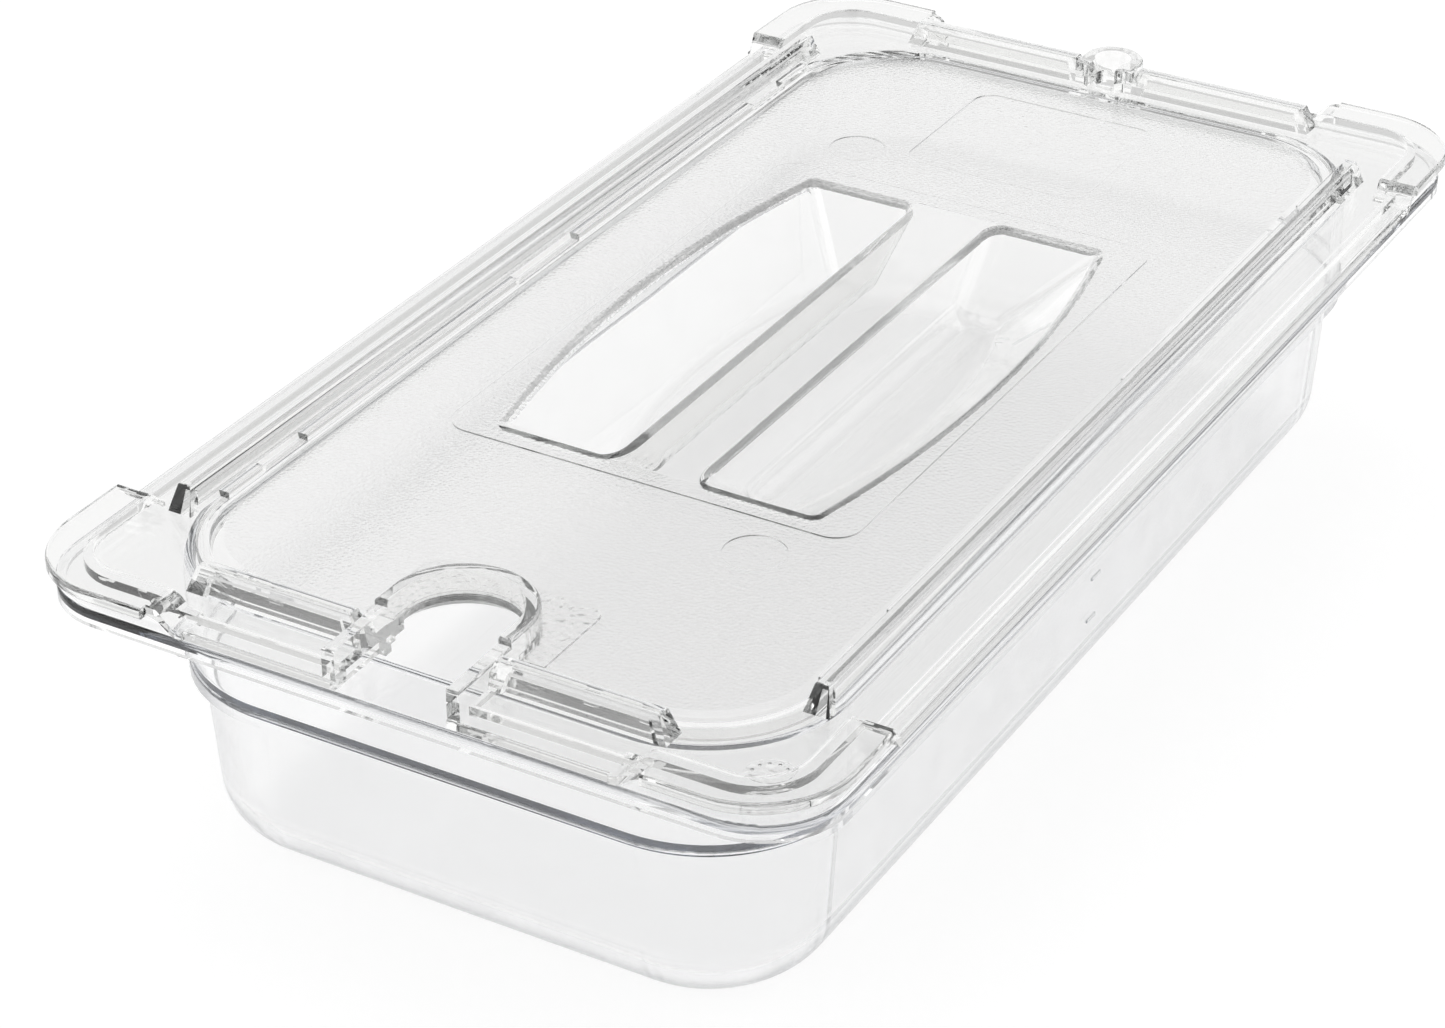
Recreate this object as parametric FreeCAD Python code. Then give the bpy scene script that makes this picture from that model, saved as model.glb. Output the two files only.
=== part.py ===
"""One-third-size deli food pan with a clear lid.

Units are millimetres.  X is the width, Y the length and Z is up.  The utensil slot is at the -Y end.
The origin is the middle of the pan's base, on the surface that the pan stands on.
"""
import FreeCAD, Part
import math
import os

from FreeCAD import Vector

# ---------------------------------------------------------------- how solids are combined
OVERLAP = 0.6                # how far pieces that are fused run into each other
CLEAR = 5.0                  # how far cutters run past what they cut
TOUCH = 0.1                  # slack when edges are picked by where they lie

# ---------------------------------------------------------------- driving sizes
PAN_HEIGHT = 65.0            # top of the rim above the base
RIM_HALF_X = 88.0            # one-third size: the rim is 176 by 325
RIM_HALF_Y = 162.5
RIM_CORNER_R = 18.0
RIM_THICK = 2.5
RIM_LIP_DEPTH = 3.6          # rolled-down outer edge of the rim
RIM_LIP_THICK = 2.0
RIM_EDGE_R = 0.9

WALL = 2.6                   # wall of the pan
FLOOR = 2.8
CORNER_X = 43.0              # the axis of each body corner
CORNER_Y = 117.8
BASE_R = 26.0                # corner radius of the body at the base, measured from that axis
BASE_FILLET = 14.0
DRAFT = math.tan(math.radians(3.9))
SHOULDER_Z = 42.5            # stacking shoulder, where the wall steps out
SHOULDER_R = 31.0
SHOULDER_BULGE = 0.5
SHOULDER_BAND = 3.0          # upright band under the shoulder
SHOULDER_TUCK = 1.4          # slope from the band in to the body
SHOULDER_EDGE_R = 0.47
MOUTH_FILLET = 3.0
TICK_Z = (19.0, 30.0)        # level marks on the long wall
TICK_Y = (-4.6, -0.4)
TICK_RISE = 0.3
TICK_HEIGHT = 0.7

LID_GAP = 0.3                # the lid's edge above the rim
PLATE_TOP = 69.2             # main sheet of the lid
PLATE_THICK = 2.5
LEDGE_BOTTOM = PAN_HEIGHT + LID_GAP
LEDGE_THICK = 1.9            # lowered edge between the corner tabs
LEDGE_HALF_X = 88.4
LEDGE_HALF_Y = 162.1
LEDGE_CORNER_R = 19.0
LEDGE_WIDTH = 3.3
LEDGE_EDGE_R = 0.6
TAB_TOP = 71.2               # raised lifting tabs at the four corners
TAB_THICK = 2.5
TAB_HALF_X = 89.5
TAB_HALF_Y = 164.9
TAB_CORNER_R = 20.5
TAB_WIDTH = 9.4
TAB_EDGE_R = 0.9
TAB_UNDER_R = 0.6
TAB_FROM_X = 56.0            # a tab runs round its corner from here
TAB_FROM_Y = 129.5
RAMP_LENGTH_X = 8.0
RAMP_LENGTH_Y = 4.0
RAMP_HALF_X = 88.8           # a ramp's outer edge lies between the ledge's and the tab's
RAMP_HALF_Y = 162.7
FOLD_OVERLAP = 2.0           # where two levels of the sheet share a wall
FOLD_X = TAB_HALF_X - TAB_WIDTH
FOLD_Y = TAB_HALF_Y - TAB_WIDTH
FOLD_R = TAB_CORNER_R - TAB_WIDTH

RIB_TOP = 75.0               # stacking ribs
RIB_BASE_W = 6.0
RIB_TOP_W = 2.8
RIB_SIDE_X = 73.0
RIB_SIDE_END = 130.0
RIB_END_Y = 149.6
RIB_END_X = 54.5
RIB_TIP_SLOPE = 2.4
RIB_EDGE_R = 0.5
RIB_CAP = 2.5                # solid end of a rib, beyond its groove
GROOVE_BASE_W = 2.6          # hollow under each rib
GROOVE_TOP_W = 1.2
GROOVE_TOP_Z = 72.6
GROOVE_FROM_Z = 65.2

STEP_TOP = 70.6              # low steps along the inner foot of the ribs
STEP_WIDTH = 2.0
STEP_SIDE_RUNS = ((12.5, 93.0), (107.5, 120.0))
STEP_FRONT_RUNS = ((18.0, 34.0), (37.5, 46.0))

PANEL_RISE = 0.5             # the middle panel is dished by this much
PANEL_R = 26.0               # its border, measured from the body corner axes
PANEL_SLOPE_W = 3.5
RIDGE_R = 28.1               # ridge underneath that keeps the lid in the pan's mouth
RIDGE_W = 2.4
RIDGE_BOTTOM = 63.6
RIDGE_EDGE_R = 0.6

WELL_FLOOR_Z = 54.5          # finger wells each side of the grip bar
WELL_INNER_TOP = 10.3
WELL_INNER_BOTTOM = 12.0
WELL_END_TOP = 67.0
WELL_END_BOTTOM = 48.0
WELL_OUT_END_TOP = 37.5
WELL_OUT_MID_TOP = 45.0
WELL_OUT_END_BOTTOM = 20.5
WELL_OUT_MID_BOTTOM = 29.0
WELL_WALL = 2.4
WELL_CORNER_R = 3.5
WELL_FLOOR_R = 4.0
WELL_LIP_R = 1.3

NOTCH_Y = -138.0             # centre of the round end of the utensil slot
NOTCH_R = 12.6
NOTCH_WALL = 2.9
NOTCH_ARCH_TOP = 75.2
NOTCH_ARCH_R = 0.8
NOTCH_LEG_TOP = 73.8
NOTCH_LEG_R = 0.6
NOTCH_LEG_START = -144.0
NOTCH_LEG_END = -161.8
NOTCH_LEG_LAP = 2.0          # how far the legs run under the arch
NOTCH_FOOT_Z = 65.3
NOTCH_CHAMFER = 2.0          # relief under the inner edge of the slot's wall
NOTCH_RELIEF_LEG = 1.0       # its straight part, in front of the round end

EYE_Y = 152.0                # hanging eye at the back
EYE_R = 4.5
EYE_OUT_R = 7.5
EYE_TOP = 75.2
EYE_LEG_Y = 146.6
EYE_EDGE_R = 0.8
EYE_GATE_HALF = 3.6          # the eye is open towards the panel

MARK_DEPTH = 0.3             # shallow marks moulded into the lid
PAD_HALF_X = 48.5            # raised pad round the wells
PAD_HALF_Y = 73.0
PAD_R = 6.0
LABEL_X = -1.5               # recess for a label
LABEL_Y = 109.5
LABEL_HALF_X = 23.5
LABEL_HALF_Y = 21.5
LABEL_R = 5.0
SPOTS = ((-36.7, 87.5, 6.7), (34.0, -84.7, 6.7))
DIAL_X = 75.2                # dating disc at the front corner
DIAL_Y = -150.9
DIAL_R = 5.1
DIAL_DOT_R = 0.35
DIAL_DOT_RING = 3.7
DIAL_DOTS = 12

PLATE_BOTTOM = PLATE_TOP - PLATE_THICK
PANEL_TOP = PLATE_TOP - PANEL_RISE
PANEL_BOTTOM = PLATE_BOTTOM - PANEL_RISE
LEDGE_TOP = LEDGE_BOTTOM + LEDGE_THICK
TAB_BOTTOM = TAB_TOP - TAB_THICK
PAD_TOP = PANEL_TOP + MARK_DEPTH
INNER_STEP_TOP = SHOULDER_Z + 0.5


# ---------------------------------------------------------------- shared helpers
def rounded_wire(half_x, half_y, radius, z):
    """Rounded rectangle about the Z axis, anticlockwise."""
    inner_x = half_x - radius
    inner_y = half_y - radius
    diagonal = radius * math.sqrt(0.5)
    edges = []
    for sx, sy, next_x, next_y in ((1, 1, -1, 1), (-1, 1, -1, -1), (-1, -1, 1, -1), (1, -1, 1, 1)):
        corner = Vector(sx * inner_x, sy * inner_y, z)
        if sx * sy > 0:
            first = corner + Vector(sx * radius, 0, 0)
            last = corner + Vector(0, sy * radius, 0)
        else:
            first = corner + Vector(0, sy * radius, 0)
            last = corner + Vector(sx * radius, 0, 0)
        middle = corner + Vector(sx * diagonal, sy * diagonal, 0)
        edges.append(Part.Arc(first, middle, last).toShape())
        if next_x == sx:
            start = Vector(next_x * inner_x + sx * radius, next_y * inner_y, z)
        else:
            start = Vector(next_x * inner_x, next_y * inner_y + sy * radius, z)
        edges.append(Part.LineSegment(last, start).toShape())
    return Part.Wire(edges)


def slab(half_x, half_y, radius, z0, z1):
    """Upright rounded-rectangular block."""
    face = Part.Face(rounded_wire(half_x, half_y, radius, z0))
    return face.extrude(Vector(0, 0, z1 - z0))


def around_corners(radius, z0, z1):
    """Block whose outline is `radius` out from the four body corner axes."""
    return slab(CORNER_X + radius, CORNER_Y + radius, radius, z0, z1)


def taper(radius0, z0, radius1, z1):
    """As around_corners, but with a straight draft between two levels."""
    low = rounded_wire(CORNER_X + radius0, CORNER_Y + radius0, radius0, z0)
    high = rounded_wire(CORNER_X + radius1, CORNER_Y + radius1, radius1, z1)
    return Part.makeLoft([low, high], True, True)


def block(x0, x1, y0, y1, z0, z1):
    """Plain box between two corners."""
    return Part.makeBox(x1 - x0, y1 - y0, z1 - z0, Vector(x0, y0, z0))


def fuse(shapes):
    """One clean solid out of overlapping ones."""
    whole = shapes[0].multiFuse(shapes[1:])
    return whole.removeSplitter()


def level_edges(shape, z, tolerance=0.01):
    """Edges that lie flat at height z."""
    found = []
    for edge in shape.Edges:
        box = edge.BoundBox
        if abs(box.ZMin - z) < tolerance and abs(box.ZMax - z) < tolerance:
            found.append(edge)
    return found


def edges_within(edges, half_x, half_y):
    """Those whose middles lie no further out than a rectangle about the Z axis."""
    found = []
    for edge in edges:
        middle = edge.valueAt((edge.FirstParameter + edge.LastParameter) / 2)
        if abs(middle.x) < half_x + TOUCH and abs(middle.y) < half_y + TOUCH:
            found.append(edge)
    return found


def rounded_edges(shape, z, radius):
    """Rounds every edge at height z."""
    return shape.makeFillet(radius, level_edges(shape, z))


def mirrored_x(shape):
    return shape.mirror(Vector(0, 0, 0), Vector(1, 0, 0))


def mirrored_y(shape):
    return shape.mirror(Vector(0, 0, 0), Vector(0, 1, 0))


# ---------------------------------------------------------------- pan
def body_radius(z):
    """Outer radius of the body's corners, below the shoulder."""
    return BASE_R + z * DRAFT


def make_ticks():
    """Short raised marks on the +X wall."""
    ticks = []
    for z in TICK_Z:
        face_x = CORNER_X + body_radius(z)
        ticks.append(block(face_x - OVERLAP, face_x + TICK_RISE, TICK_Y[0], TICK_Y[1], z, z + TICK_HEIGHT))
    return ticks


def make_pan():
    shoulder_low = SHOULDER_Z - SHOULDER_BAND
    shoulder_foot = shoulder_low - SHOULDER_TUCK
    widest = SHOULDER_R + SHOULDER_BULGE
    rim_under = PAN_HEIGHT - RIM_THICK

    lower = taper(BASE_R, 0.0, body_radius(shoulder_foot), shoulder_foot)
    lower = rounded_edges(lower, 0.0, BASE_FILLET)
    flare = taper(body_radius(shoulder_foot), shoulder_foot, widest, shoulder_low)
    band = around_corners(widest, shoulder_low, SHOULDER_Z)
    band = rounded_edges(band, SHOULDER_Z, SHOULDER_EDGE_R)
    upper = around_corners(SHOULDER_R, SHOULDER_Z - OVERLAP, rim_under + OVERLAP)

    rim = slab(RIM_HALF_X, RIM_HALF_Y, RIM_CORNER_R, PAN_HEIGHT - RIM_LIP_DEPTH, PAN_HEIGHT)
    rim = rounded_edges(rim, PAN_HEIGHT, RIM_EDGE_R)
    under = slab(RIM_HALF_X - RIM_LIP_THICK, RIM_HALF_Y - RIM_LIP_THICK,
                 RIM_CORNER_R - RIM_LIP_THICK, PAN_HEIGHT - RIM_LIP_DEPTH - CLEAR, rim_under)
    rim = rim.cut(under)
    outside = fuse([lower, flare, band, upper, rim] + make_ticks())

    inner_step = shoulder_low
    inner_low_r = body_radius(inner_step) - WALL
    inner_high_r = SHOULDER_R - WALL
    hollow_low = taper(body_radius(FLOOR) - WALL, FLOOR, inner_low_r, inner_step)
    hollow_low = rounded_edges(hollow_low, FLOOR, BASE_FILLET - WALL)
    hollow_step = taper(inner_low_r, inner_step, inner_high_r, INNER_STEP_TOP)
    hollow_high = around_corners(inner_high_r, INNER_STEP_TOP, PAN_HEIGHT + CLEAR)
    hollow = fuse([hollow_low, hollow_step, hollow_high])
    pan = outside.cut(hollow)

    mouth = edges_within(level_edges(pan, PAN_HEIGHT), CORNER_X + inner_high_r, CORNER_Y + inner_high_r)
    pan = pan.makeFillet(MOUTH_FILLET, mouth)
    return pan.removeSplitter()


# ---------------------------------------------------------------- lid: sheet and edge
def corner_boxes(from_x, from_y, z0, z1):
    """Four boxes that reach from (from_x, from_y) out past each corner."""
    one = block(from_x, TAB_HALF_X + CLEAR, from_y, TAB_HALF_Y + CLEAR, z0, z1)
    return [one, mirrored_x(one), mirrored_y(one), mirrored_x(mirrored_y(one))]


def make_plate():
    wide = slab(LEDGE_HALF_X - LEDGE_WIDTH, LEDGE_HALF_Y - LEDGE_WIDTH,
                LEDGE_CORNER_R - LEDGE_WIDTH, PLATE_BOTTOM, PLATE_TOP)
    middle_x = TAB_FROM_X - RAMP_LENGTH_X / 2
    middle_y = TAB_FROM_Y - RAMP_LENGTH_Y / 2
    for box in corner_boxes(middle_x, middle_y, PLATE_BOTTOM - CLEAR, PLATE_TOP + CLEAR):
        wide = wide.cut(box)
    narrow = slab(FOLD_X + FOLD_OVERLAP, FOLD_Y + FOLD_OVERLAP, FOLD_R + FOLD_OVERLAP,
                  PLATE_BOTTOM, PLATE_TOP)
    return fuse([wide, narrow])


def make_ledge():
    outer = slab(LEDGE_HALF_X, LEDGE_HALF_Y, LEDGE_CORNER_R, LEDGE_BOTTOM, LEDGE_TOP)
    outer = rounded_edges(outer, LEDGE_TOP, LEDGE_EDGE_R)
    inset = LEDGE_WIDTH + FOLD_OVERLAP
    inner = slab(LEDGE_HALF_X - inset, LEDGE_HALF_Y - inset, LEDGE_CORNER_R - inset,
                 LEDGE_BOTTOM - CLEAR, LEDGE_TOP + CLEAR)
    ledge = outer.cut(inner)
    for box in corner_boxes(TAB_FROM_X - RAMP_LENGTH_X, TAB_FROM_Y - RAMP_LENGTH_Y,
                            LEDGE_BOTTOM - CLEAR, LEDGE_TOP + CLEAR):
        ledge = ledge.cut(box)
    return ledge


def ramp_profile(start, end):
    """S-shaped strip, as (along, z) points, from the ledge's level up to the tab's."""
    middle = (start + end) / 2
    top = [(start, LEDGE_TOP), (middle, LEDGE_TOP), (middle, TAB_TOP), (end, TAB_TOP)]
    bottom = [(end, TAB_BOTTOM), (middle, TAB_BOTTOM), (middle, LEDGE_BOTTOM), (start, LEDGE_BOTTOM)]
    return top, bottom


def ramp_solid(start, end, place, direction):
    """The strip of ramp_profile, pulled sideways.  place(along, z) gives a point."""
    top, bottom = ramp_profile(start, end)
    top_poles = [place(a, z) for a, z in top]
    bottom_poles = [place(a, z) for a, z in bottom]
    top_curve = Part.BezierCurve()
    top_curve.setPoles(top_poles)
    bottom_curve = Part.BezierCurve()
    bottom_curve.setPoles(bottom_poles)
    wire = Part.Wire([top_curve.toShape(),
                      Part.LineSegment(top_poles[-1], bottom_poles[0]).toShape(),
                      bottom_curve.toShape(),
                      Part.LineSegment(bottom_poles[-1], top_poles[0]).toShape()])
    return Part.Face(wire).extrude(direction)


def make_tab():
    """The tab at the +X +Y corner, with a ramp down to the ledge at each end."""
    sheet = slab(TAB_HALF_X, TAB_HALF_Y, TAB_CORNER_R, TAB_BOTTOM, TAB_TOP)
    sheet = rounded_edges(sheet, TAB_TOP, TAB_EDGE_R)
    sheet = rounded_edges(sheet, TAB_BOTTOM, TAB_UNDER_R)
    hole = slab(FOLD_X, FOLD_Y, FOLD_R, TAB_BOTTOM - CLEAR, TAB_TOP + CLEAR)
    sheet = sheet.cut(hole)
    sheet = sheet.common(block(TAB_FROM_X, TAB_HALF_X + CLEAR, TAB_FROM_Y, TAB_HALF_Y + CLEAR,
                               TAB_BOTTOM - CLEAR, TAB_TOP + CLEAR))

    end_ramp = ramp_solid(TAB_FROM_X - RAMP_LENGTH_X, TAB_FROM_X,
                          lambda a, z: Vector(a, FOLD_Y, z),
                          Vector(0, RAMP_HALF_Y - FOLD_Y, 0))
    side_ramp = ramp_solid(TAB_FROM_Y - RAMP_LENGTH_Y, TAB_FROM_Y,
                           lambda a, z: Vector(FOLD_X, a, z),
                           Vector(RAMP_HALF_X - FOLD_X, 0, 0))
    return [sheet, end_ramp, side_ramp]


# ---------------------------------------------------------------- lid: ribs
def trapezoid_bar(base_w, top_w, z0, z1, half_length):
    """Bar along Y about the origin with sloping sides and sloping tips."""
    low = Part.makePolygon([Vector(-base_w / 2, -half_length, z0), Vector(base_w / 2, -half_length, z0),
                            Vector(base_w / 2, half_length, z0), Vector(-base_w / 2, half_length, z0),
                            Vector(-base_w / 2, -half_length, z0)])
    top_length = half_length - RIB_TIP_SLOPE
    high = Part.makePolygon([Vector(-top_w / 2, -top_length, z1), Vector(top_w / 2, -top_length, z1),
                             Vector(top_w / 2, top_length, z1), Vector(-top_w / 2, top_length, z1),
                             Vector(-top_w / 2, -top_length, z1)])
    return Part.makeLoft([low, high], True, True)


def rib_pair(half_length):
    """A rib and the groove under it, both along Y about the origin."""
    rib = trapezoid_bar(RIB_BASE_W, RIB_TOP_W, PLATE_TOP - OVERLAP, RIB_TOP, half_length)
    rib = rounded_edges(rib, RIB_TOP, RIB_EDGE_R)
    groove = trapezoid_bar(GROOVE_BASE_W, GROOVE_TOP_W, GROOVE_FROM_Z, GROOVE_TOP_Z,
                           half_length - RIB_CAP)
    return rib, groove


def moved(shape, x, y, turn=0.0):
    placed = shape.copy()
    placed.rotate(Vector(0, 0, 0), Vector(0, 0, 1), turn)
    placed.translate(Vector(x, y, 0))
    return placed


def make_ribs():
    """Ribs round the sheet, and the grooves to cut under them."""
    ribs = []
    grooves = []
    side_rib, side_groove = rib_pair(RIB_SIDE_END)
    for x in (-RIB_SIDE_X, RIB_SIDE_X):
        ribs.append(moved(side_rib, x, 0))
        grooves.append(moved(side_groove, x, 0))
    front_inner = NOTCH_R + NOTCH_WALL / 2
    back_inner = EYE_R + (EYE_OUT_R - EYE_R) / 2
    for y, inner in ((-RIB_END_Y, front_inner), (RIB_END_Y, back_inner)):
        half = (RIB_END_X - inner) / 2
        middle = (RIB_END_X + inner) / 2
        rib, groove = rib_pair(half)
        for side in (-1, 1):
            ribs.append(moved(rib, side * middle, y, 90))
            grooves.append(moved(groove, side * middle, y, 90))
    return ribs, grooves


def make_steps():
    """Low steps along the inner foot of the side and front ribs, with gaps between them."""
    foot_x = RIB_SIDE_X - RIB_BASE_W / 2
    foot_y = RIB_BASE_W / 2 - RIB_END_Y
    low = PLATE_TOP - OVERLAP
    steps = []
    for y0, y1 in STEP_SIDE_RUNS:
        step = block(foot_x - STEP_WIDTH, foot_x + OVERLAP, y0, y1, low, STEP_TOP)
        steps += [step, mirrored_x(step), mirrored_y(step), mirrored_x(mirrored_y(step))]
    for x0, x1 in STEP_FRONT_RUNS:
        step = block(x0, x1, foot_y - OVERLAP, foot_y + STEP_WIDTH, low, STEP_TOP)
        steps += [step, mirrored_x(step)]
    return steps


# ---------------------------------------------------------------- lid: finger wells
def well_wire(z, grow):
    """Outline of the +X well at height z, its walls set out by `grow` along their slopes."""
    share = (z - WELL_FLOOR_Z) / (PANEL_TOP - WELL_FLOOR_Z)
    height = PANEL_TOP - WELL_FLOOR_Z

    def level(bottom, top):
        run = abs(top - bottom)
        spread = grow * math.hypot(run, height) / height
        return bottom + (top - bottom) * share, spread

    inner, inner_grow = level(WELL_INNER_BOTTOM, WELL_INNER_TOP)
    end, end_grow = level(WELL_END_BOTTOM, WELL_END_TOP)
    out_end, out_grow = level(WELL_OUT_END_BOTTOM, WELL_OUT_END_TOP)
    out_mid, mid_grow = level(WELL_OUT_MID_BOTTOM, WELL_OUT_MID_TOP)
    x_in = inner - inner_grow
    x_end = out_end + out_grow
    x_mid = out_mid + mid_grow
    y_end = end + end_grow
    a = Vector(x_in, -y_end, z)
    b = Vector(x_end, -y_end, z)
    c = Vector(x_end, y_end, z)
    d = Vector(x_in, y_end, z)
    return Part.Wire([Part.LineSegment(a, b).toShape(),
                      Part.Arc(b, Vector(x_mid, 0, z), c).toShape(),
                      Part.LineSegment(c, d).toShape(),
                      Part.LineSegment(d, a).toShape()])


def well_block(grow, floor_z, top_z, corner_r, floor_r):
    """Solid the shape of a well, with rounded corners and floor."""
    solid = Part.makeLoft([well_wire(floor_z, grow), well_wire(top_z, grow)], True, True)
    uprights = []
    for edge in solid.Edges:
        box = edge.BoundBox
        if box.ZMin < floor_z + TOUCH and box.ZMax > top_z - TOUCH:
            uprights.append(edge)
    solid = solid.makeFillet(corner_r, uprights)
    return solid.makeFillet(floor_r, level_edges(solid, floor_z))


def make_wells():
    """Shells to add under the sheet, and the hollows to cut from above."""
    shell = well_block(WELL_WALL, WELL_FLOOR_Z - WELL_WALL, PANEL_TOP - OVERLAP,
                       WELL_CORNER_R + WELL_WALL, WELL_FLOOR_R + WELL_WALL)
    hollow = well_block(0.0, WELL_FLOOR_Z, PANEL_TOP + CLEAR, WELL_CORNER_R, WELL_FLOOR_R)
    return [shell, mirrored_x(shell)], [hollow, mirrored_x(hollow)]


# ---------------------------------------------------------------- lid: utensil slot and hanging eye
def slot_wire(radius, y_from, z):
    """Outline of a straight slot with a round end at the +Y side, centred on the notch."""
    return Part.Wire([
        Part.LineSegment(Vector(-radius, y_from, z), Vector(radius, y_from, z)).toShape(),
        Part.LineSegment(Vector(radius, y_from, z), Vector(radius, NOTCH_Y, z)).toShape(),
        Part.Arc(Vector(radius, NOTCH_Y, z), Vector(0, NOTCH_Y + radius, z),
                 Vector(-radius, NOTCH_Y, z)).toShape(),
        Part.LineSegment(Vector(-radius, NOTCH_Y, z), Vector(-radius, y_from, z)).toShape()])


def slot_block(radius, y_from, z0, z1):
    return Part.Face(slot_wire(radius, y_from, z0)).extrude(Vector(0, 0, z1 - z0))


def make_notch():
    """Wall round the slot, and the opening to cut through everything."""
    outer_r = NOTCH_R + NOTCH_WALL
    arch = slot_block(outer_r, NOTCH_LEG_START, PANEL_BOTTOM, NOTCH_ARCH_TOP)
    arch = rounded_edges(arch, NOTCH_ARCH_TOP, NOTCH_ARCH_R)
    legs = block(-outer_r, outer_r, NOTCH_LEG_END, NOTCH_LEG_START + NOTCH_LEG_LAP,
                 NOTCH_FOOT_Z, NOTCH_LEG_TOP)
    legs = rounded_edges(legs, NOTCH_LEG_TOP, NOTCH_LEG_R)
    opening = slot_block(NOTCH_R, -LEDGE_HALF_Y - CLEAR, RIDGE_BOTTOM - CLEAR, NOTCH_ARCH_TOP + CLEAR)
    relief_y = NOTCH_Y - NOTCH_RELIEF_LEG
    relief_low = slot_wire(NOTCH_R + NOTCH_CHAMFER + TOUCH, relief_y, PANEL_BOTTOM - TOUCH)
    relief_high = slot_wire(NOTCH_R, relief_y, PANEL_BOTTOM + NOTCH_CHAMFER)
    relief = Part.makeLoft([relief_low, relief_high], True, True)
    return [arch, legs], [opening, relief]


def make_eye():
    """Boss with an open side towards the panel, and its hole."""
    z0 = PLATE_BOTTOM
    boss = Part.makeCylinder(EYE_OUT_R, EYE_TOP - z0, Vector(0, EYE_Y, z0))
    legs = block(-EYE_OUT_R, EYE_OUT_R, EYE_LEG_Y, EYE_Y, z0, EYE_TOP)
    boss = fuse([boss, legs])
    boss = rounded_edges(boss, EYE_TOP, EYE_EDGE_R)
    hole = Part.makeCylinder(EYE_R, EYE_TOP - z0 + 2 * CLEAR, Vector(0, EYE_Y, z0 - CLEAR))
    gate = block(-EYE_GATE_HALF, EYE_GATE_HALF, EYE_LEG_Y - CLEAR, EYE_Y, PLATE_TOP, EYE_TOP + CLEAR)
    return boss, [hole, gate]


# ---------------------------------------------------------------- lid: shallow marks
def make_dial():
    """Dating disc: a low disc with a ring of dots."""
    disc = Part.makeCylinder(DIAL_R, MARK_DEPTH + OVERLAP, Vector(DIAL_X, DIAL_Y, PLATE_TOP - OVERLAP))
    dots = []
    for step in range(DIAL_DOTS):
        angle = 2 * math.pi * step / DIAL_DOTS
        x = DIAL_X + DIAL_DOT_RING * math.cos(angle)
        y = DIAL_Y + DIAL_DOT_RING * math.sin(angle)
        dots.append(Part.makeCylinder(DIAL_DOT_R, CLEAR, Vector(x, y, PLATE_TOP)))
    return disc.cut(Part.makeCompound(dots))


def shallow_marks():
    """Label recess and round spots, to cut into the panel."""
    floor_z = PANEL_TOP - MARK_DEPTH
    label = slab(LABEL_HALF_X, LABEL_HALF_Y, LABEL_R, floor_z, PANEL_TOP + CLEAR)
    marks = [moved(label, LABEL_X, LABEL_Y)]
    for x, y, radius in SPOTS:
        marks.append(Part.makeCylinder(radius, CLEAR, Vector(x, y, floor_z)))
    return marks


def make_base():
    """Sheet with its dished panel, pad and finger wells, before anything that stands on it."""
    sheet = [make_plate(), make_ledge()]
    for piece in make_tab():
        sheet += [piece, mirrored_x(piece), mirrored_y(piece), mirrored_x(mirrored_y(piece))]
    panel_under = around_corners(PANEL_R, PANEL_BOTTOM, PLATE_BOTTOM + OVERLAP)
    ridge = around_corners(RIDGE_R, RIDGE_BOTTOM, PLATE_BOTTOM + OVERLAP)
    ridge = rounded_edges(ridge, RIDGE_BOTTOM, RIDGE_EDGE_R)
    ridge = ridge.cut(around_corners(RIDGE_R - RIDGE_W, RIDGE_BOTTOM - CLEAR, PLATE_BOTTOM + CLEAR))
    dish = taper(PANEL_R - PANEL_SLOPE_W, PANEL_TOP, PANEL_R, PLATE_TOP)
    dish = dish.fuse(around_corners(PANEL_R, PLATE_TOP, PLATE_TOP + CLEAR))
    base = fuse(sheet + [panel_under, ridge])
    base = base.cut(dish)

    pad = slab(PAD_HALF_X, PAD_HALF_Y, PAD_R, PANEL_TOP - OVERLAP, PAD_TOP)
    well_shells, well_hollows = make_wells()
    base = fuse([base, pad] + well_shells)
    for cutter in well_hollows + shallow_marks():
        base = base.cut(cutter)
    lips = edges_within(level_edges(base, PAD_TOP), WELL_OUT_MID_TOP + OVERLAP, WELL_END_TOP + OVERLAP)
    return base.makeFillet(WELL_LIP_R, lips)


def make_lid():
    ribs, grooves = make_ribs()
    notch_walls, notch_cuts = make_notch()
    eye, eye_cuts = make_eye()
    lid = fuse([make_base()] + ribs + make_steps() + notch_walls + [eye, make_dial()])
    lid = lid.cut(Part.makeCompound(grooves))
    for cutter in notch_cuts + eye_cuts:
        lid = lid.cut(cutter)
    return lid.removeSplitter()


# ---------------------------------------------------------------- output
def main():
    os.makedirs("parts", exist_ok=True)
    for name, shape in (("pan", make_pan()), ("lid", make_lid())):
        print(name, shape.ShapeType, "solids", len(shape.Solids), "valid", shape.isValid(),
              "volume", round(shape.Volume), shape.BoundBox)
        shape.exportStep("parts/%s.step" % name)


main()
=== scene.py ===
"""Looks for the deli food pan: a clear shallow pan with a clear stippled lid.

Lengths are metres unless a name ends in _MM.  The frame is the CAD part's own: X across the pan, Y along
it towards the hanging eye, Z up, with the utensil slot at the -Y end.
"""
import math

import bpy
from mathutils import Euler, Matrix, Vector

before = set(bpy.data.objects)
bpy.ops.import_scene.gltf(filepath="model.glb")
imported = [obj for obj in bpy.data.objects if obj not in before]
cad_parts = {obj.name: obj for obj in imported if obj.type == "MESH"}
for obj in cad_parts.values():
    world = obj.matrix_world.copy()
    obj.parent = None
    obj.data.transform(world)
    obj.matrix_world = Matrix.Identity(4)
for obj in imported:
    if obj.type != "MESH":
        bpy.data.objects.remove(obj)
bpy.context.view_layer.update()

MM = 0.001

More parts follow.
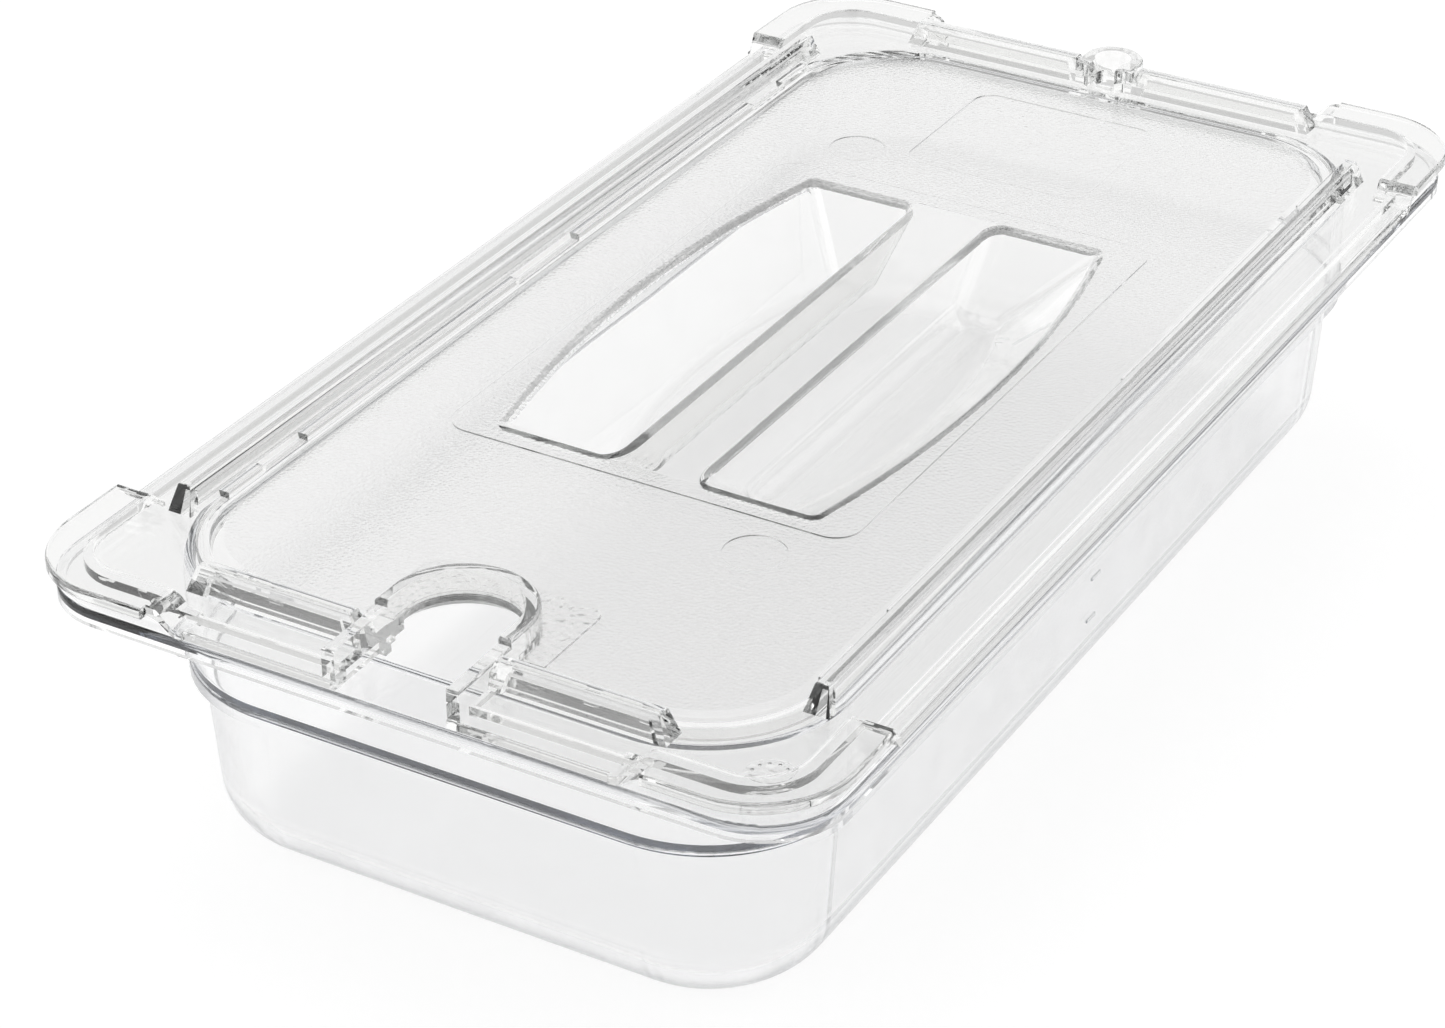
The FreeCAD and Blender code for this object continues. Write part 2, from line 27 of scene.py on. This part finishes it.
# ---------------------------------------------------------------- sizes the masks follow, from the part
CORNER_X_MM = 43.0           # axes of the pan's rounded corners
CORNER_Y_MM = 117.8
PANEL_EDGE_MM = 22.6         # stippled panel, measured out from those axes
PANEL_LOW_MM = (67.5, 68.0)  # only the top face of its sheet is stippled
PANEL_HIGH_MM = (69.3, 69.5)
GRIP_BAR_MM = (12.0, 68.0, 3.0)   # polished bar between the wells: half width, half length, corner
PATCH_HALF_X_MM = 20.3       # coarser stipple round the utensil slot
PATCH_BACK_Y_MM = -117.5
PATCH_FRONT_Y_MM = -160.0
PATCH_CORNER_MM = 4.0
DIAL_MM = (75.2, -150.9, 5.1)     # x, y and radius of the dating disc
BODY_TOP_MM = (38.0, 39.5)   # the matt body ends under the stacking shoulder
MASK_EDGE_MM = 0.25          # half the width over which a mask fades
DIAL_EDGE_MM = 0.1

# ---------------------------------------------------------------- plastic
POLYCARBONATE_IOR = 1.585
PAN_SURFACE = (1.0, 1.0, 1.0)
PAN_DEPTH_TINT = (0.50, 0.56, 0.68)    # bluish where light runs along inside it
PAN_DENSITY = 5.0
LID_SURFACE = (0.975, 0.975, 0.97)
LID_DEPTH_TINT = (0.50, 0.52, 0.51)
LID_DENSITY = 6.0
PAN_POLISH = 0.03            # roughness of the clear parts
LID_POLISH = 0.02
BODY_MATT = (0.09, 0.12)     # roughness that the pan's body adds, in soft blotches
BLOTCH_SIZE_MM = 9.0
BLOTCH_DETAIL = 3.0
BLOTCH_RANGE = (0.3, 0.7)    # part of the noise that goes from the least to the most matt
PANEL_MATT = 0.18
COARSE_MATT = 0.06
FLOW_SIZE_MM = 30.0          # slow waves left by the moulding
FLOW_DEPTH_MM = 0.02
FLOW_DETAIL = 1.0
GRAIN_SIZE_MM = 0.8          # stipple of the panel
GRAIN_DEPTH_MM = 0.08
PEBBLE_SIZE_MM = 1.6         # stipple of the patch and the dating disc
PEBBLE_DEPTH_MM = 0.42
STIPPLE_DETAIL = 0.0

# ---------------------------------------------------------------- camera
CAMERA_AZIMUTH = 28.95
CAMERA_ELEVATION = 30.04
CAMERA_ROLL = 0.38
CAMERA_DISTANCE = 0.85653
CAMERA_TARGET = Vector((0.0, 0.0, 0.040))
CAMERA_SENSOR = 36.0         # sensor width and focal length, in millimetres
CAMERA_LENS = 96.25
CAMERA_SHIFT = (-0.0622, -0.0450)

# ---------------------------------------------------------------- light table and light tent
FLOOR_HALF = 12.0            # far enough that a low view doesn't see past its edge
FLOOR_Z = -0.0002            # a hair below the pan's base, so that the two faces don't coincide
TABLE_WHITE = 0.26           # share of the tent's light that the table sends back
TABLE_GLOW = 0.84            # its own light
TABLE_SPECULAR = 0.1
TABLE_MATT = (0.75, 0.85)
TABLE_CLOUD_MM = 30.0
TABLE_CLOUD_DETAIL = 2.0
SOFTBOX_PLACE = Vector((-0.55, 0.45, 1.9))
SOFTBOX_SIDE = 1.4
SOFTBOX_WATTS = 6.0
TENT_STRENGTH = 1.1
TENT_HEM = (0.02, 0.20)      # sine of the elevation where the tent's wall starts and is full white
TENT_HEM_SHADE = 0.70        # brightness below it, beyond the table
TENT_PORT_ANGLE = (9.0, 15.0)  # degrees: the dark opening that the camera looks through
TENT_PORT_SHADE = 0.15
TENT_CARD_ANGLE = (18.0, 34.0)  # degrees: the grey card behind, mirrored in the lid
TENT_CARD_SHADE = 0.62
TENT_TOP_ANGLE = (25.0, 58.0)  # degrees: the darker top of the tent, mirrored in the lid from above
TENT_TOP_SHADE = 0.35
LIGHT_BOUNCES = 28           # light runs a long way inside the ribs and the rim before it leaves them


# ---------------------------------------------------------------- node helpers
class Nodes:
    """Short calls for building one node tree over a set of texture coordinates."""

    def __init__(self, tree, coordinates):
        self.tree = tree
        self.coordinates = tree.nodes.new("ShaderNodeTexCoord").outputs[coordinates]
        split = tree.nodes.new("ShaderNodeSeparateXYZ")
        tree.links.new(self.coordinates, split.inputs[0])
        self.x, self.y, self.z = split.outputs

    def put(self, value, socket):
        if isinstance(value, bpy.types.NodeSocket):
            self.tree.links.new(value, socket)
        else:
            socket.default_value = value

    def math(self, operation, a, b=0.0):
        node = self.tree.nodes.new("ShaderNodeMath")
        node.operation = operation
        self.put(a, node.inputs[0])
        self.put(b, node.inputs[1])
        return node.outputs[0]

    def ramp(self, value, start, end, low=0.0, high=1.0):
        """Smooth step from low to high while value goes from start to end."""
        node = self.tree.nodes.new("ShaderNodeMapRange")
        node.interpolation_type = "SMOOTHSTEP"
        self.put(value, node.inputs["Value"])
        node.inputs["From Min"].default_value = start
        node.inputs["From Max"].default_value = end
        node.inputs["To Min"].default_value = low
        node.inputs["To Max"].default_value = high
        return node.outputs["Result"]

    def along(self, direction):
        """Cosine of the angle between the coordinates, read as a direction, and another direction."""
        node = self.tree.nodes.new("ShaderNodeVectorMath")
        node.operation = "DOT_PRODUCT"
        self.tree.links.new(self.coordinates, node.inputs[0])
        node.inputs[1].default_value = direction
        return node.outputs["Value"]

    def noise(self, size_mm, detail):
        node = self.tree.nodes.new("ShaderNodeTexNoise")
        self.tree.links.new(self.coordinates, node.inputs["Vector"])
        node.inputs["Scale"].default_value = 1.0 / (size_mm * MM)
        node.inputs["Detail"].default_value = detail
        return node.outputs["Fac"]

    def rounded_box(self, half_x_mm, half_y_mm, radius_mm, centre=(0.0, 0.0)):
        """Signed distance in metres to a rounded rectangle about centre, negative inside."""
        across = self.math("ABSOLUTE", self.math("SUBTRACT", self.x, centre[0] * MM))
        length = self.math("ABSOLUTE", self.math("SUBTRACT", self.y, centre[1] * MM))
        over_x = self.math("MAXIMUM", self.math("SUBTRACT", across, (half_x_mm - radius_mm) * MM), 0.0)
        over_y = self.math("MAXIMUM", self.math("SUBTRACT", length, (half_y_mm - radius_mm) * MM), 0.0)
        squared = self.math("ADD", self.math("POWER", over_x, 2.0), self.math("POWER", over_y, 2.0))
        return self.math("SUBTRACT", self.math("SQRT", squared), radius_mm * MM)

    def inside(self, distance, edge_mm=MASK_EDGE_MM):
        """1 where a signed distance is negative and 0 outside, with a soft edge."""
        return self.ramp(distance, -edge_mm * MM, edge_mm * MM, 1.0, 0.0)

    def bump(self, height, depth_mm, normal=None):
        node = self.tree.nodes.new("ShaderNodeBump")
        node.inputs["Strength"].default_value = 1.0
        node.inputs["Distance"].default_value = depth_mm * MM
        self.put(height, node.inputs["Height"])
        if normal is not None:
            self.tree.links.new(normal, node.inputs["Normal"])
        return node.outputs[0]

    def surface_shader(self, colour):
        """Principled shader on the tree's output."""
        shader = self.tree.nodes.new("ShaderNodeBsdfPrincipled")
        output = self.tree.nodes.new("ShaderNodeOutputMaterial")
        self.tree.links.new(shader.outputs[0], output.inputs["Surface"])
        shader.inputs["Base Color"].default_value = (*colour, 1.0)
        return shader, output

    def clear_plastic(self, surface, depth, density):
        """Shader of a clear moulded plastic, tinted a little more the further light goes in it."""
        shader, output = self.surface_shader(surface)
        shader.inputs["Transmission Weight"].default_value = 1.0
        shader.inputs["IOR"].default_value = POLYCARBONATE_IOR
        tint = self.tree.nodes.new("ShaderNodeVolumeAbsorption")
        tint.inputs["Color"].default_value = (*depth, 1.0)
        tint.inputs["Density"].default_value = density
        self.tree.links.new(tint.outputs[0], output.inputs["Volume"])
        return shader


# ---------------------------------------------------------------- materials
def start_material(name):
    """Empty node-based material, and the calls that fill it."""
    material = bpy.data.materials.new(name)
    material.use_nodes = True
    material.node_tree.nodes.clear()
    return material, Nodes(material.node_tree, "Object")


def pan_plastic():
    """Clear above the stacking shoulder, faintly matt below it."""
    material, n = start_material("pan_plastic")
    shader = n.clear_plastic(PAN_SURFACE, PAN_DEPTH_TINT, PAN_DENSITY)
    body = n.ramp(n.z, BODY_TOP_MM[0] * MM, BODY_TOP_MM[1] * MM, 1.0, 0.0)
    blotches = n.ramp(n.noise(BLOTCH_SIZE_MM, BLOTCH_DETAIL), *BLOTCH_RANGE, *BODY_MATT)
    n.put(n.math("ADD", n.math("MULTIPLY", body, blotches), PAN_POLISH), shader.inputs["Roughness"])
    n.put(n.bump(n.noise(FLOW_SIZE_MM, FLOW_DETAIL), FLOW_DEPTH_MM), shader.inputs["Normal"])
    return material


def lid_plastic():
    """Clear edge, ribs and wells; finely stippled panel; coarser stipple by the slot and on the dial."""
    material, n = start_material("lid_plastic")
    shader = n.clear_plastic(LID_SURFACE, LID_DEPTH_TINT, LID_DENSITY)
    panel = n.inside(n.rounded_box(
        CORNER_X_MM + PANEL_EDGE_MM, CORNER_Y_MM + PANEL_EDGE_MM, PANEL_EDGE_MM))
    above = n.ramp(n.z, PANEL_LOW_MM[0] * MM, PANEL_LOW_MM[1] * MM)
    below = n.ramp(n.z, PANEL_HIGH_MM[0] * MM, PANEL_HIGH_MM[1] * MM, 1.0, 0.0)
    off_grip = n.math("SUBTRACT", 1.0, n.inside(n.rounded_box(*GRIP_BAR_MM)))
    fine = n.math("MULTIPLY", n.math("MULTIPLY", panel, off_grip), n.math("MULTIPLY", above, below))

    patch_half_y = (PATCH_BACK_Y_MM - PATCH_FRONT_Y_MM) / 2
    patch_centre = (0.0, PATCH_FRONT_Y_MM + patch_half_y)
    patch = n.inside(n.rounded_box(PATCH_HALF_X_MM, patch_half_y, PATCH_CORNER_MM, patch_centre))
    dial_x, dial_y, dial_r = DIAL_MM
    dial = n.inside(n.rounded_box(dial_r, dial_r, dial_r, (dial_x, dial_y)), DIAL_EDGE_MM)
    coarse = n.math("MAXIMUM", n.math("MULTIPLY", patch, fine), n.math("MULTIPLY", dial, above))

    rough = n.math("ADD", n.math("MULTIPLY", fine, PANEL_MATT), LID_POLISH)
    rough = n.math("ADD", rough, n.math("MULTIPLY", coarse, COARSE_MATT))
    n.put(rough, shader.inputs["Roughness"])

    grain = n.math("MULTIPLY", n.noise(GRAIN_SIZE_MM, STIPPLE_DETAIL), fine)
    pebble = n.math("MULTIPLY", n.noise(PEBBLE_SIZE_MM, STIPPLE_DETAIL), coarse)
    relief = n.bump(n.noise(FLOW_SIZE_MM, FLOW_DETAIL), FLOW_DEPTH_MM)
    relief = n.bump(grain, GRAIN_DEPTH_MM, relief)
    relief = n.bump(pebble, PEBBLE_DEPTH_MM, relief)
    n.put(relief, shader.inputs["Normal"])
    return material


def light_table():
    """Backlit white acrylic, so that clear plastic on it throws hardly any shadow."""
    material, n = start_material("light_table")
    shader, _ = n.surface_shader((TABLE_WHITE, TABLE_WHITE, TABLE_WHITE))
    shader.inputs["Emission Color"].default_value = (1.0, 1.0, 1.0, 1.0)
    shader.inputs["Emission Strength"].default_value = TABLE_GLOW
    shader.inputs["Specular IOR Level"].default_value = TABLE_SPECULAR
    clouds = n.noise(TABLE_CLOUD_MM, TABLE_CLOUD_DETAIL)
    n.put(n.ramp(clouds, 0.0, 1.0, *TABLE_MATT), shader.inputs["Roughness"])
    return material


def dress_nodes():
    for name, material in (("pan", pan_plastic()), ("lid", lid_plastic())):
        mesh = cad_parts[name].data
        mesh.materials.clear()
        mesh.materials.append(material)


# ---------------------------------------------------------------- stage, light and camera
def towards_camera():
    """Direction from the part to the camera."""
    azimuth = math.radians(CAMERA_AZIMUTH)
    elevation = math.radians(CAMERA_ELEVATION)
    return Vector((math.sin(azimuth) * math.cos(elevation),
                   -math.cos(azimuth) * math.cos(elevation),
                   math.sin(elevation)))


def make_floor():
    mesh = bpy.data.meshes.new("floor")
    signs = ((-1, -1), (1, -1), (1, 1), (-1, 1))
    corners = [(x * FLOOR_HALF, y * FLOOR_HALF, FLOOR_Z) for x, y in signs]
    mesh.from_pydata(corners, [], [(0, 1, 2, 3)])
    mesh.materials.append(light_table())
    floor = bpy.data.objects.new("floor", mesh)
    bpy.context.scene.collection.objects.link(floor)


def make_softbox():
    """Square area light, high up behind the part's left, aimed at the origin."""
    light = bpy.data.lights.new("softbox", "AREA")
    light.shape = "RECTANGLE"
    light.size = light.size_y = SOFTBOX_SIDE
    light.energy = SOFTBOX_WATTS
    lamp = bpy.data.objects.new("softbox", light)
    lamp.location = SOFTBOX_PLACE
    lamp.rotation_euler = (-SOFTBOX_PLACE).to_track_quat("-Z", "Y").to_euler()
    bpy.context.scene.collection.objects.link(lamp)


def studio_world():
    """White tent: dim hem beyond the table, opening for the camera, grey card behind, darker top."""
    world = bpy.data.worlds.new("studio")
    world.use_nodes = True
    n = Nodes(world.node_tree, "Generated")

    def patch(direction, angles, shade):
        """Round patch of the tent about one direction, at a given brightness."""
        full, edge = (math.cos(math.radians(angle)) for angle in angles)
        return n.ramp(n.along(direction), edge, full, 1.0, shade)

    to_camera = towards_camera()
    across = Vector((-to_camera.x, -to_camera.y, to_camera.z))
    wall = n.ramp(n.z, *TENT_HEM, TENT_HEM_SHADE, 1.0)
    port = patch(to_camera, TENT_PORT_ANGLE, TENT_PORT_SHADE)
    card = patch(across, TENT_CARD_ANGLE, TENT_CARD_SHADE)
    top = patch(Vector((0.0, 0.0, 1.0)), TENT_TOP_ANGLE, TENT_TOP_SHADE)
    shade = n.math("MULTIPLY", n.math("MULTIPLY", wall, port), n.math("MULTIPLY", card, top))
    background = world.node_tree.nodes["Background"]
    n.put(n.math("MULTIPLY", shade, TENT_STRENGTH), background.inputs["Strength"])
    background.inputs["Color"].default_value = (1.0, 1.0, 1.0, 1.0)
    return world


def let_light_run():
    """Enough bounces for light that is trapped in the solid parts of the plastic to get out again."""
    paths = bpy.context.scene.cycles
    paths.max_bounces = LIGHT_BOUNCES
    paths.glossy_bounces = LIGHT_BOUNCES
    paths.transmission_bounces = LIGHT_BOUNCES


def make_lights():
    make_softbox()
    bpy.context.scene.world = studio_world()
    bpy.context.scene.view_settings.view_transform = "Standard"


def make_camera():
    """Camera at the photograph's viewing angle."""
    back = towards_camera()
    data = bpy.data.cameras.new("camera")
    data.sensor_width = CAMERA_SENSOR
    data.lens = CAMERA_LENS
    data.shift_x, data.shift_y = CAMERA_SHIFT
    camera = bpy.data.objects.new("camera", data)
    camera.location = CAMERA_TARGET + back * CAMERA_DISTANCE
    roll = Euler((0.0, 0.0, math.radians(CAMERA_ROLL))).to_quaternion()
    camera.rotation_mode = "QUATERNION"
    camera.rotation_quaternion = (-back).to_track_quat("-Z", "Y") @ roll
    bpy.context.scene.collection.objects.link(camera)
    bpy.context.scene.camera = camera


dress_nodes()
make_floor()
make_lights()
let_light_run()
make_camera()
